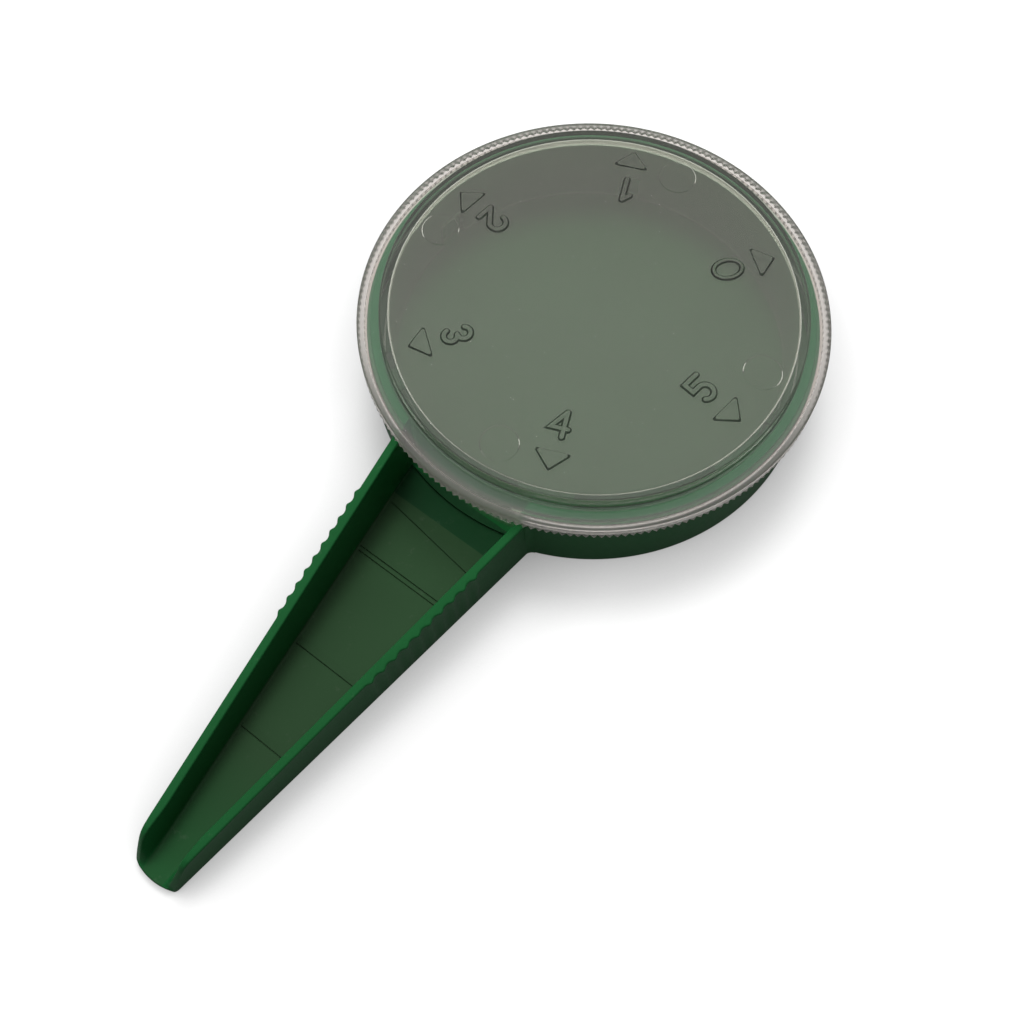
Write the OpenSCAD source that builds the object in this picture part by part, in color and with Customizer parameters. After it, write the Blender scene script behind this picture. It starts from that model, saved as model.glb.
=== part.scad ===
// Dial seed sower: a round dish with a tapering open chute that is also the
// handle, and a clear dial lid that turns on the rim of the dish.
// The origin is on the dish axis at the underside. +Z is up and the chute
// runs along -Y. Distances "along the chute" start at the dish axis.

/* [Dial lid: disc and gate ring] */
// Outer radius of the raised disc and of the gate ring that hangs under it
ring_r = 38.2; // [30:0.1:55]
// Wall thickness of the gate ring
ring_t = 1.4; // [1:0.1:2.5]
// Gap between the gate ring's lower edge and the dish floor
ring_lift = 0.3; // [0.2:0.1:1]
// Height of the raised disc above the flange
disc_rise = 3.0; // [1.6:0.1:6]
// Thickness of the raised disc
disc_t = 1.4; // [1:0.1:2.5]

/* [Dial lid: flange and skirt] */
// Thickness of the flange that lies on the rim
flange_t = 1.25; // [0.8:0.05:2]
// Gap between the flange and the top of the rim
seat_gap = 0.05; // [0.02:0.01:0.3]
// Gap between the rim and the inside of the skirt
skirt_gap = 1.2; // [1:0.05:2]
// Thickness of the skirt behind its teeth
skirt_t = 0.75; // [0.6:0.05:1.5]
// Gap between the skirt's lower edge and the step of the dish wall
skirt_lift = 0.65; // [0.4:0.05:0.9]
// Height of the teeth round the skirt
tooth_h = 0.45; // [0.2:0.05:0.8]
// Number of teeth round the skirt
tooth_count = 200; // [120:1:240]

/* [Snap fit] */
// How far the bead stands out from the rim
bead_out = 0.65; // [0.3:0.05:0.8]
// Height of the bead
bead_h = 0.5; // [0.3:0.05:0.7]
// How far the hook inside the skirt stands in
hook_in = 0.85; // [0.5:0.05:0.9]
// Height of the hook
hook_h = 0.35; // [0.25:0.05:0.5]
// Gap between the hook and the bead above it
snap_gap = 0.3; // [0.1:0.05:0.5]

/* [Gates] */
// Width of gate 1; gate n is n times as wide and gate 0 is closed
gate_w = 2.8; // [1.5:0.1:4]
// Height of the gates
gate_h = 6.5; // [4:0.1:8]

/* [Dial marks] */
// Angle of numeral 0 at rest, counted from +X
zero_angle = 52.5; // [0:0.5:360]
// Distance of the numerals' middles from the axis
numeral_at = 25; // [22:0.1:26]
// Height of a numeral
numeral_h = 5.8; // [4:0.1:6.4]
// Width of a numeral
numeral_w = 4.0; // [3:0.1:5]
// Width of a numeral's stroke
stroke_w = 1.0; // [0.6:0.05:1.2]
// How far the numerals and triangles stand up from the disc
mark_rise = 0.3; // [0.2:0.05:0.6]
// Distance of the triangles' bases from the axis
triangle_at = 30.2; // [29:0.1:30.5]
// Width of a triangle's base
triangle_w = 6.5; // [4:0.1:8]
// Height of a triangle
triangle_h = 3.6; // [2:0.1:5]
// Distance of the round ejector marks under the disc from the axis
ejector_at = 32; // [20:0.1:32]
// Radius of an ejector mark
ejector_r = 3.4; // [2:0.1:4]
// Depth of an ejector mark
ejector_depth = 0.15; // [0.1:0.05:0.4]

/* [Dish] */
// Height of the dish wall up to the step under the skirt
dish_h = 13.8; // [12:0.1:25]
// Thickness of the dish floor
dish_floor_t = 2.0; // [1.6:0.1:2.6]
// Gap between the gate ring and the inside of the dish wall
ring_gap = 0.3; // [0.2:0.05:0.6]
// Thickness of the rim that stands up inside the skirt
rim_t = 1.6; // [1.2:0.1:2.5]
// Height of the rim above the step
rim_rise = 2.3; // [2.2:0.05:4]
// Width of the step between the rim and the outside of the dish wall
step_w = 1.1; // [0.5:0.05:1.15]
// Angle of the pointed index mark on the rim, counted from +X
index_angle = 132.3; // [0:0.1:240]
// Width of the index mark
index_w = 2.4; // [1.5:0.1:4]
// How far the index mark stands out from the rim
index_out = 0.85; // [0.5:0.05:0.9]
// Height of the index mark
index_h = 1.0; // [0.5:0.05:1]

/* [Chute] */
// Distance from the dish axis to the chute's tip
chute_len = 120.6; // [105:0.1:160]
// Width over the chute's walls where they leave the dish
root_w = 28.3; // [24:0.1:34]
// Width over the chute's walls at the tip, as if they ran on to it
tip_w = 8.1; // [7.6:0.1:12]
// How far the tops of the chute's walls lie below the step of the dish wall
root_drop = 0.1; // [0:0.1:2]
// Height of the chute's walls at the tip, as if they ran on to it
tip_h = 7.25; // [5:0.05:10]
// Thickness of the chute's walls at the top
wall_t = 1.6; // [1.2:0.1:2.2]
// How much thicker the walls are at the floor, on the inside
inner_draft = 0.45; // [0:0.05:0.6]
// How much further out the walls stand at the floor, on the outside
outer_draft = 0.25; // [0:0.05:0.4]
// Thickness of the chute's floor
chute_floor_t = 1.5; // [1.2:0.1:1.9]
// Radius of the tip's curve, seen from above
tip_r = 10.6; // [8:0.1:20]
// Distance from the tip at which the walls' tops turn down
end_top = 5.4; // [3:0.1:8]
// Distance from the tip at which the slanted wall ends meet the floor
end_foot = 1.4; // [1.2:0.1:2.9]
// Radius of the rounding between the walls' tops and their slanted ends
end_round = 2.5; // [1:0.1:3]
// Radius of the fillet between the chute's walls and the dish wall
root_fillet = 2; // [0.5:0.1:5]
// How far the fillet's top lies below the tops of the walls
fillet_drop = 0.2; // [0.1:0.05:2]

/* [Grips] */
// Distance along the chute of the first grip ridge
grip_start = 51.6; // [48:0.1:60]
// Distance from one grip ridge to the next
grip_pitch = 2.64; // [1.8:0.02:3.6]
// Number of grip ridges on each side
grip_count = 10; // [4:1:12]
// How far a grip ridge stands out at its top
grip_out = 0.95; // [0.4:0.05:1.4]

/* [Chute floor] */
// Distance along the chute of the first of the two fine grooves
groove_at = 56.1; // [48:0.1:64]
// Distance between the two fine grooves
groove_pitch = 0.9; // [0.6:0.1:3]
// Width of a fine groove
groove_w = 0.25; // [0.15:0.05:0.5]
// Depth of a fine groove
groove_depth = 0.25; // [0.1:0.05:0.5]
// Distance along the chute of the first ramped step
ramp_at = 76.7; // [70:0.1:84]
// Distance from the first ramped step to the second
ramp_pitch = 16.5; // [4:0.1:18]
// Length of a ramped step
ramp_len = 2.0; // [1:0.1:4]
// Depth of a ramped step
ramp_depth = 0.3; // [0.1:0.05:0.5]
// Distance along the chute at which the slanted step crosses the middle
slant_at = 48; // [46.5:0.1:52]
// Angle of the slanted step
slant_angle = 10; // [0:1:12]
// Length of the slanted step
slant_len = 1.0; // [0.5:0.1:2]

/* [Hidden] */
$fn = 96;

// what the cuts run past a face
over = 1;
// the dial's settings, with 0 closed
settings = 6;
setting_angle = 360 / settings;
// the ejector marks lie where the photographed lid has them
ejector_angles = [11.3, 96.3, 186.8, 275.8];

// radii, from the gate ring outwards
ring_in_r = ring_r - ring_t;
rim_in_r = ring_r + ring_gap;
rim_r = rim_in_r + rim_t;
dish_r = rim_r + step_w;
skirt_in_r = rim_r + skirt_gap;
tooth_root_r = skirt_in_r + skirt_t;
tooth_tip_r = tooth_root_r + tooth_h;

// heights, from the floor upwards
ring_z = dish_floor_t + ring_lift;
rim_z = dish_h + rim_rise;
skirt_z = dish_h + skirt_lift;
bead_z = skirt_z + hook_h + snap_gap;
flange_z = rim_z + seat_gap;
flange_top_z = flange_z + flange_t;
disc_top_z = flange_top_z + disc_rise;
disc_z = disc_top_z - disc_t;

// the chute's taper, seen from above and from the side
root_s = dish_r;
root_h = dish_h - root_drop;
run = chute_len - root_s;
taper = atan((root_w - tip_w) / 2 / run);
wall_len = run / cos(taper);
fall = (root_h - tip_h) / run;
function outer_half(s) = (root_w - (root_w - tip_w) * (s - root_s) / run) / 2;
function top_z(s) = root_h - fall * (s - root_s);

// a polygon's points along an arc round c, from angle a0 to angle a1
function arc(c, r, a0, a1, n = 8) =
    [for (i = [0:n]) c + r * [cos(a0 + (a1 - a0) * i / n), sin(a0 + (a1 - a0) * i / n)]];

// ---------------------------------------------------------------- body

// profile of the dish, turned round the axis
module dish() {
    rotate_extrude($fn = 180)
        polygon([
            [0, 0],
            [dish_r, 0],
            [dish_r, dish_h],
            [rim_r, dish_h],
            [rim_r, bead_z],
            [rim_r + bead_out, bead_z],
            [rim_r + bead_out, bead_z + bead_h],
            [rim_r, bead_z + bead_h],
            [rim_r, rim_z],
            [rim_in_r, rim_z],
            [rim_in_r, dish_floor_t],
            [0, dish_floor_t]
        ]);
}

// the space between the chute's walls, cut through the dish wall
module throat() {
    s0 = rim_in_r * cos(asin(outer_half(rim_in_r) / rim_in_r)) - over;
    s1 = dish_r + over;
    w0 = outer_half(s0) - wall_t - inner_draft;
    w1 = outer_half(s1) - wall_t - inner_draft;
    translate([0, 0, dish_floor_t])
        linear_extrude(rim_z)
            polygon([[-w0, -s0], [w0, -s0], [w1, -s1], [-w1, -s1]]);
}

// places its children at the root of the right wall: +X runs along the wall
// to the tip and +Y points outwards
module at_wall() {
    translate([outer_half(root_s), -root_s, 0])
        rotate([0, 0, -90 - taper])
            children();
}

// one wall of the chute, longer than it ends up at both ends
module wall() {
    back = root_s - rim_in_r + 3 * wall_t;
    at_wall()
        translate([-back, 0, 0])
            rotate([90, 0, 90])
                linear_extrude(back + wall_len + over)
                    polygon([
                        [outer_draft, 0],
                        [0, root_h],
                        [-wall_t, root_h],
                        [-wall_t - inner_draft, 0]
                    ]);
}

// grip ridges, upright three-sided bars that lean into the wall at the foot
module grips() {
    lean = atan((grip_out - outer_draft) / root_h);
    at_wall()
        for (i = [0:grip_count - 1])
            translate([(grip_start - root_s + i * grip_pitch) / cos(taper), outer_draft, 0])
                rotate([-lean, 0, 0])
                    linear_extrude(root_h + over)
                        polygon([
                            [-grip_pitch / 2, -wall_t],
                            [-grip_pitch / 2, -grip_out],
                            [0, 0],
                            [grip_pitch / 2, -grip_out],
                            [grip_pitch / 2, -wall_t]
                        ]);
}

// floor of the chute
module chute_floor() {
    s0 = rim_in_r - over;
    w0 = outer_half(s0) - wall_t / 2;
    w1 = outer_half(chute_len) - wall_t / 2;
    linear_extrude(chute_floor_t)
        polygon([[-w0, -s0], [w0, -s0], [w1, -chute_len], [-w1, -chute_len]]);
}

// side view of the chute: sloping top, rounded corner, slanted wall ends
module chute_side() {
    s_top = chute_len - end_top;
    s_foot = chute_len - end_foot;
    z_top = top_z(s_top);
    slope = atan(fall);
    steep = atan((z_top - chute_floor_t) / (s_foot - s_top));
    reach = end_round * tan((steep - slope) / 2);
    corner = [s_top, z_top];
    centre = corner - reach * [cos(slope), -sin(slope)] - end_round * [sin(slope), cos(slope)];
    rotate([90, 0, -90])
        linear_extrude(2 * root_w, center = true)
            polygon(concat(
                [[0, 0], [0, root_h], [root_s, root_h]],
                arc(centre, end_round, 90 - slope, 90 - steep),
                [[s_foot, chute_floor_t], [chute_len + over, chute_floor_t], [chute_len + over, 0]]
            ));
}

// plan of the chute: straight sides that end in one curve
module chute_plan() {
    linear_extrude(rim_z) {
        translate([0, tip_r - chute_len])
            circle(tip_r);
        translate([-root_w, tip_r - chute_len])
            square([2 * root_w, chute_len - tip_r]);
    }
}

module chute() {
    difference() {
        intersection() {
            union() {
                chute_floor();
                wall();
                grips();
                mirror([1, 0, 0]) {
                    wall();
                    grips();
                }
            }
            chute_side();
            chute_plan();
        }
        translate([0, 0, -over])
            cylinder(h = rim_z, r = rim_in_r, $fn = 180);
    }
}

// concave fillet between the outside of a wall and the outside of the dish
module fillet() {
    along = [-sin(taper), -cos(taper)];
    out = [cos(taper), -sin(taper)];
    foot = [outer_half(root_s), -root_s] + outer_draft * out;
    a = foot + root_fillet * out;
    b = a * along;
    u = -b + sqrt(b * b - a * a + (dish_r + root_fillet) * (dish_r + root_fillet));
    centre = a + u * along;
    on_dish = centre * dish_r / norm(centre);
    on_wall = foot + u * along;
    linear_extrude(root_h - fillet_drop)
        difference() {
            polygon([on_dish, centre, on_wall, on_wall - wall_t * out, on_dish * rim_r / dish_r]);
            translate(centre)
                circle(root_fillet);
        }
}

// pointed mark on the rim
module index_mark() {
    rotate([0, 0, index_angle])
        translate([rim_r, 0, rim_z - index_h])
            linear_extrude(index_h)
                polygon([[-rim_t / 2, -index_w / 2], [0, -index_w / 2], [index_out, 0],
                    [0, index_w / 2], [-rim_t / 2, index_w / 2]]);
}

// the cuts in the chute's floor, no wider than the floor
module floor_cuts() {
    top = chute_floor_t + over;
    s_end = ramp_at + ramp_pitch + over;
    w0 = outer_half(root_s) - wall_t - inner_draft;
    w1 = outer_half(s_end) - wall_t - inner_draft;
    intersection() {
        linear_extrude(top)
            polygon([[-w0, -root_s], [w0, -root_s], [w1, -s_end], [-w1, -s_end]]);
        union() {
            for (i = [0:1])
                translate([-root_w, -groove_at - i * groove_pitch - groove_w, chute_floor_t - groove_depth])
                    cube([2 * root_w, groove_w, top]);
            for (i = [0:1])
                ramp(ramp_at + i * ramp_pitch, 0, ramp_len);
            ramp(slant_at, slant_angle, slant_len);
        }
    }
}

// one ramped step: the floor falls towards the tip and steps up again
module ramp(s, angle, length) {
    translate([0, -s, 0])
        rotate([0, 0, -angle])
            rotate([90, 0, 90])
                linear_extrude(2 * root_w, center = true)
                    polygon([
                        [0, chute_floor_t - ramp_depth],
                        [0, chute_floor_t + over],
                        [length, chute_floor_t + over],
                        [length, chute_floor_t]
                    ]);
}

module body() {
    color([0.10, 0.32, 0.17])
        difference() {
            union() {
                difference() {
                    dish();
                    throat();
                }
                chute();
                fillet();
                mirror([1, 0, 0])
                    fillet();
                index_mark();
            }
            floor_cuts();
        }
}

// ------------------------------------------------------------ dial lid

// one straight stroke of a numeral, from p to q
module bar(p, q) {
    way = q - p;
    translate(p)
        rotate(atan2(way[1], way[0]))
            translate([-stroke_w / 2, -stroke_w / 2])
                square([norm(way) + stroke_w, stroke_w]);
}

// one round stroke of a numeral: a ring kept between two angles
module bow(c, r, a0, a1) {
    far = 2 * r + stroke_w;
    translate(c)
        intersection() {
            difference() {
                circle(r + stroke_w / 2, $fn = 48);
                circle(r - stroke_w / 2, $fn = 48);
            }
            polygon(concat([[0, 0]], arc([0, 0], far, a0, a1, 6)));
        }
}

// the numerals, upright, with their middle at the origin
module numeral(n) {
    x = (numeral_w - stroke_w) / 2;
    y = (numeral_h - stroke_w) / 2;
    if (n == 0) {
        bow([0, y - x], x, 0, 180);
        bow([0, x - y], x, 180, 360);
        bar([-x, x - y], [-x, y - x]);
        bar([x, x - y], [x, y - x]);
    }
    if (n == 1) {
        bar([0, -y], [0, y]);
        bar([-x / 2, y - x / 2], [0, y]);
    }
    if (n == 2) {
        bow([0, y - x], x, -20, 180);
        bar([-x, -y], [x * cos(20), y - x - x * sin(20)]);
        bar([-x, -y], [x, -y]);
    }
    if (n == 3) {
        bow([0, y / 2], y / 2, -90, 160);
        bow([0, -y / 2], y / 2, -160, 90);
    }
    if (n == 4) {
        bar([x / 2, -y], [x / 2, y]);
        bar([-x, -y / 3], [x / 2, y]);
        bar([-x, -y / 3], [x, -y / 3]);
    }
    if (n == 5) {
        belly = 0.6 * y;
        bar([-x, y], [x, y]);
        bar([-x, y], [-x, 2 * belly - y]);
        bar([-x, 2 * belly - y], [x - belly, 2 * belly - y]);
        bow([x - belly, belly - y], belly, -140, 90);
    }
}

// numeral n and its triangle on the disc, both with their feet to the rim
module dial_mark(n) {
    rotate([0, 0, zero_angle + n * setting_angle])
        translate([0, 0, disc_top_z - disc_t / 2])
            linear_extrude(disc_t / 2 + mark_rise) {
                translate([numeral_at, 0])
                    rotate(90)
                        numeral(n);
                translate([triangle_at, 0])
                    polygon([[0, -triangle_w / 2], [triangle_h, 0], [0, triangle_w / 2]]);
            }
}

// the opening in the gate ring that setting n brings to the throat
module gate(n) {
    width = n * gate_w;
    rotate([0, 0, zero_angle + n * setting_angle])
        translate([ring_in_r - ring_t, -width / 2, ring_z - over])
            cube([3 * ring_t, width, gate_h + over]);
}

// outline of the flange and skirt with a tooth at each step
module toothed_disc() {
    polygon([
        for (i = [0:2 * tooth_count - 1])
            let (r = i % 2 == 0 ? tooth_tip_r : tooth_root_r, a = 180 * i / tooth_count)
                r * [cos(a), sin(a)]
    ]);
}

// turned inside of the lid's outer groove, between gate ring and skirt
module groove() {
    rotate_extrude($fn = 180)
        polygon([
            [ring_r, skirt_z - over],
            [skirt_in_r - hook_in, skirt_z - over],
            [skirt_in_r - hook_in, skirt_z + hook_h],
            [skirt_in_r, skirt_z + hook_h],
            [skirt_in_r, flange_z],
            [ring_r, flange_z]
        ]);
}

module dial_lid() {
    color([0.82, 0.86, 0.84, 0.35])
        difference() {
            union() {
                translate([0, 0, skirt_z])
                    linear_extrude(flange_top_z - skirt_z)
                        toothed_disc();
                translate([0, 0, ring_z])
                    cylinder(h = disc_top_z - ring_z, r = ring_r, $fn = 180);
                for (n = [0:settings - 1])
                    dial_mark(n);
            }
            groove();
            translate([0, 0, ring_z - over])
                cylinder(h = disc_z - ring_z + over, r = ring_in_r, $fn = 180);
            for (n = [1:settings - 1])
                gate(n);
            for (a = ejector_angles)
                rotate([0, 0, a])
                    translate([ejector_at, 0, disc_z - over])
                        cylinder(h = ejector_depth + over, r = ejector_r);
        }
}

body();
dial_lid();
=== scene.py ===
"""Dial seed sower: the green body and the clear dial lid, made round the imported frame."""
import math

import bmesh
import bpy
from bpy.props import FloatProperty, FloatVectorProperty, IntProperty, PointerProperty
from mathutils import Matrix, Vector


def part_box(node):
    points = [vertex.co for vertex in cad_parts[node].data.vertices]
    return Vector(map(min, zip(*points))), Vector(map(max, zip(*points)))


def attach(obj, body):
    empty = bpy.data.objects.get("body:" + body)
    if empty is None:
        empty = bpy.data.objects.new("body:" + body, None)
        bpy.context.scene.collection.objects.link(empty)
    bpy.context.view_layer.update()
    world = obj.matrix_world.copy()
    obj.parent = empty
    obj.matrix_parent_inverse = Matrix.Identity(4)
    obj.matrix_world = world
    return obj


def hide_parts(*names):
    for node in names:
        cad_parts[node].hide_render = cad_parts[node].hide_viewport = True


bl_info = {
    "name": "Dial seed sower",
    "version": (1, 0, 0),
    "blender": (4, 5, 0),
    "location": "View3D > Sidebar > Seed sower",
    "description": "Makes a hand seed sower: a green dish with an open chute and a clear dial lid",
    "category": "Add Mesh",
}

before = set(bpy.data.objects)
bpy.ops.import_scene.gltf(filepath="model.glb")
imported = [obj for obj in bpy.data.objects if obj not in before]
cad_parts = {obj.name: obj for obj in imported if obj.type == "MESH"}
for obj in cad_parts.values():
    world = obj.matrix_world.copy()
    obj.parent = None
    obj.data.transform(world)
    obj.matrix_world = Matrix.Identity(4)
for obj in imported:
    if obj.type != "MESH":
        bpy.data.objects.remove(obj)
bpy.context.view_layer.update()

MM = 0.001
BODY_NODE = "body"
LID_NODE = "dial_lid"
BODY_LOW, BODY_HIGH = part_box(BODY_NODE)
LID_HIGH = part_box(LID_NODE)[1]


# ------------------------------------------------------------ fixed sizes, in mm and degrees

# dish: floor, outside of the wall, rim and the snap bead round it
DISH_FLOOR = 2.0
DISH_R = 41.2
RIM_R = 40.1
RIM_IN_R = 38.5
BEAD_R = 40.75
BEAD_Z = 15.1
BEAD_TOP = 15.6

# pointed index mark on the rim: how far it stands out, half its width, how deep it roots in
# the rim, and how far its underside and top lie below the rim's top
POINTER_ANGLE = 132.3
POINTER_OUT = 0.85
POINTER_HALF = 1.2
POINTER_IN = 0.8
POINTER_LOW = 1.0
POINTER_HIGH = 0.05

# throat: where the chute starts in the dish wall, the cut through the wall, its curved sill
CHUTE_FROM_R = 38.9
THROAT_FROM = 34.0
THROAT_TO = 42.5
THROAT_TOP = 18
THROAT_GAP = 0.03
SILL_R = 40.2

# chute: floor, walls and how they lean, fillets at the dish
FLOOR_TOP = 1.5
WALL = 1.6
INNER_DRAFT = 0.45
OUTER_DRAFT = 0.25
ROOT_TOP = 13.7
ROOT_FILLET = 2.0
FILLET_Z = 0.15
FILLET_DROP = 0.35

# tip: radius seen from above, and how far before the tip each change of form starts
TIP_CURVE = 13.0
TIP_ZONE = 9
DRAIN_ZONE = 7
PINCH_ZONE = 1
NOSE = 0.35
# rows of distance before the end and how far the walls' tops lie lower there
END_PAST_TIP = 0.25
END_DROP = ((8.2, 0.0), (6.4, 0.12), (5.4, 0.5), (4.5, 1.3), (3.4, 2.75), (2.4, 4.2), (1.5, 5.6),
            (0.9, 6.45))
# rows of distance before the end and the wall's thickness there
END_WALL = ((10.5, WALL), (6, 1.15), (3.5, 0.75), (1, 0.5))
LEAST_TOP = 0.6
NOSE_LEVEL = 0.65

# how narrow the crests of the grip ridges are, and how blunt those of the lid's teeth
GRIP_CREST = 1.5
TOOTH_BLUNT = 0.1

# sections of the chute: where they start, how close they lie, points in a rounded corner
# and points from the middle of the floor to a corner
STATIONS_FROM = 37
STATION_GAP = 1.5
RIDGE_STATIONS = 12
TIP_STATIONS = 30
NOSE_STATIONS = 6
ARC_POINTS = 5
ACROSS = 5

# lines across the chute's floor, as distances from the dish axis
# ETCH_FROM is also where the lid's painted shadow on the chute's floor ends
ETCH_FROM = 44.5
SLANT_AT = 47.7
SLANT_TURN = -7.7
GROOVES_AT = (56.1, 57.0)
STEPS_AT = (76.7, 93.2)
LINE_DEPTH = 0.25
STEP_DEPTH = 0.35
LINE_END_GAP = 0.35

# dial lid: gate ring, disc, flange, skirt with its teeth, snap hook and gates
RING_R = 38.2
RING_IN_R = 36.8
RING_Z = 2.3
DISC_Z = 19.0
DISC_TOP = 20.4
FLANGE_Z = 16.15
FLANGE_TOP = 17.4
SKIRT_Z = 14.45
SKIRT_IN_R = 41.3
TOOTH_ROOT_R = 42.05
TEETH_TOP = 15.8
HOOK_R = 40.45
HOOK_H = 0.35
GATE_H = 6.5

# dial marks, and the round ejector marks under the disc
SETTINGS = 6
NUMERAL_AT = 25.0
NUMERAL_W = 4.0
NUMERAL_H = 5.8
ZERO_STROKE = 0.75
TRIANGLE_AT = 30.2
TRIANGLE_HALF = 3.25
TRIANGLE_H = 3.6
EJECTOR_AT = 32.0
EJECTOR_R = 3.45
EJECTOR_DEPTH = 0.15
EJECTOR_ANGLES = (11.3, 96.3, 186.8, 275.8)


# ------------------------------------------------------------ what a user may change

class SowerBodySizes(bpy.types.PropertyGroup):
    """Sizes of the green moulding, in millimetres"""
    dish_height: FloatProperty(
        name="Dish height", description="Height of the dish wall up to its step, in mm",
        default=13.8, min=12, max=25)
    rim_top: FloatProperty(
        name="Rim top", description="Height of the rim that carries the lid, in mm",
        default=BODY_HIGH.z / MM, min=14, max=28)
    chute_length: FloatProperty(
        name="Chute length", description="Distance from the dish axis to the chute's tip, in mm",
        default=-BODY_LOW.y / MM, min=105, max=160)
    root_width: FloatProperty(
        name="Root width", description="Width over the chute's walls at the dish, in mm",
        default=28.3, min=24, max=34)
    tip_width: FloatProperty(
        name="Tip width", description="Width over the chute's walls at the tip, in mm",
        default=8.1, min=7.6, max=12)
    tip_height: FloatProperty(
        name="Tip height", description="Height of the chute's walls at the tip, in mm",
        default=7.25, min=5, max=10)
    grip_count: IntProperty(
        name="Grip ridges", description="Number of grip ridges on each side",
        default=10, min=4, max=12)
    grip_pitch: FloatProperty(
        name="Grip pitch", description="Distance from one grip ridge to the next, in mm",
        default=2.64, min=1.8, max=3.6)
    grip_start: FloatProperty(
        name="Grip start", description="Distance along the chute of the first ridge, in mm",
        default=51.6, min=48, max=60)
    grip_out: FloatProperty(
        name="Grip depth", description="How far a ridge stands out at its top, in mm",
        default=0.45, min=0.3, max=1.4)


class SowerLidSizes(bpy.types.PropertyGroup):
    """Sizes of the clear dial lid, in millimetres"""
    tooth_count: IntProperty(
        name="Teeth", description="Number of teeth round the skirt",
        default=200, min=120, max=240)
    tooth_height: FloatProperty(
        name="Tooth height", description="Height of a skirt tooth, in mm",
        default=0.45, min=0.2, max=0.8)
    gate_width: FloatProperty(
        name="Gate width", description="Width of gate 1 in mm; gate n is n times as wide",
        default=2.8, min=1.5, max=4)
    zero_angle: FloatProperty(
        name="Zero angle", description="Angle of numeral 0 at rest",
        default=math.radians(52.5), subtype="ANGLE")
    stroke: FloatProperty(
        name="Stroke width", description="Width of a numeral's stroke, in mm",
        default=1.0, min=0.6, max=1.2)
    mark_rise: FloatProperty(
        name="Mark height", description="How far the numerals stand up from the disc, in mm",
        default=0.3, min=0.2, max=0.6)


class SowerFinish(bpy.types.PropertyGroup):
    """Colours of the two mouldings and the floor"""
    green: FloatVectorProperty(
        name="Green plastic", description="Colour of the body", subtype="COLOR", size=3,
        default=(0.009, 0.092, 0.024), min=0, max=1)
    clear: FloatVectorProperty(
        name="Clear plastic", description="Tint of the dial lid", subtype="COLOR", size=3,
        default=(0.67, 0.68, 0.60), min=0, max=1)
    floor: FloatVectorProperty(
        name="Floor", description="Colour of the floor", subtype="COLOR", size=3,
        default=(0.28, 0.28, 0.28), min=0, max=1)


# ------------------------------------------------------------ mesh helpers

# how close points lie that are merged, in mm
MERGE = 0.0005
# the angles past which edges stay sharp, in degrees
BODY_SHARP = 32
LID_SHARP = 38
# faces round the dish, and points round the lid to a tooth
ROUND_DISH = 320
POINTS_TO_A_TOOTH = 4
# the share of an edge that the rounding of a corner may take up
ROUND_SHARE = 0.46


def mesh_object(name, points, faces):
    """A mesh object from points in millimetres, with its normals turned outwards"""
    mesh = bpy.data.meshes.new(name)
    mesh.from_pydata([Vector(p) * MM for p in points], [], faces)
    tidy = bmesh.new()
    tidy.from_mesh(mesh)
    bmesh.ops.recalc_face_normals(tidy, faces=tidy.faces)
    tidy.to_mesh(mesh)
    tidy.free()
    mesh.validate()
    piece = bpy.data.objects.new(name, mesh)
    bpy.context.scene.collection.objects.link(piece)
    return piece


def shortest(turn):
    """The same turn within half a circle either way"""
    return (turn + math.pi) % math.tau - math.pi


def arc(x, y, radius, start, end, steps=16):
    """Points on a circle round (x, y) from one angle to another, in degrees"""
    return [(x + radius * math.cos(math.radians(start + (end - start) * i / steps)),
             y + radius * math.sin(math.radians(start + (end - start) * i / steps)))
            for i in range(steps + 1)]


def rounded(corners, steps=ARC_POINTS - 1):
    """Points of a closed outline of (x, y, radius) corners, each rounded by an arc"""
    points = []
    total = len(corners)
    for index, (x, y, radius) in enumerate(corners):
        corner = Vector((x, y))
        before = Vector(corners[index - 1][:2]) - corner
        after = Vector(corners[(index + 1) % total][:2]) - corner
        if radius <= 0:
            points.append((x, y))
            continue
        half = before.angle(after) / 2
        limit = ROUND_SHARE * min(before.length, after.length)
        reach = min(radius / math.tan(half), limit)
        radius = reach * math.tan(half)
        middle = corner + (before.normalized() + after.normalized()).normalized() * (
            radius / math.sin(half))
        first = corner + before.normalized() * reach - middle
        last = corner + after.normalized() * reach - middle
        start = math.atan2(first.y, first.x)
        turn = math.atan2(last.y, last.x) - start
        turn = shortest(turn)
        for step in range(steps + 1):
            angle = start + turn * step / steps
            points.append((middle.x + radius * math.cos(angle),
                           middle.y + radius * math.sin(angle)))
    return points


def revolve(name, profile, count):
    """A solid turned round Z from an (r, z) outline that starts and ends on the axis"""
    ring = profile[1:-1]
    points = [(0, 0, profile[0][1]), (0, 0, profile[-1][1])]
    for turn in range(count):
        angle = math.tau * turn / count
        points += [(r * math.cos(angle), r * math.sin(angle), z) for r, z in ring]
    faces = []
    size = len(ring)
    for turn in range(count):
        here = 2 + turn * size
        there = 2 + (turn + 1) % count * size
        faces.append((0, here, there))
        faces.append((1, there + size - 1, here + size - 1))
        for k in range(size - 1):
            faces.append((here + k, here + k + 1, there + k + 1, there + k))
    return mesh_object(name, points, faces)


def loft(name, sections, hoop=False):
    """A solid through closed sections of equal point counts; a hoop runs back to its start"""
    size = len(sections[0])
    total = len(sections)
    points = [p for section in sections for p in section]
    faces = [] if hoop else [tuple(range(size)), tuple(range(len(points) - size, len(points)))]
    for row in range(total if hoop else total - 1):
        here, there = row * size, (row + 1) % total * size
        for k in range(size):
            nxt = (k + 1) % size
            faces.append((here + k, here + nxt, there + nxt, there + k))
    return mesh_object(name, points, faces)


def prism(name, outlines):
    """A solid from level outlines: (points, z) pairs of equal point counts"""
    return loft(name, [[(x, y, z) for x, y in outline] for outline, z in outlines])


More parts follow.
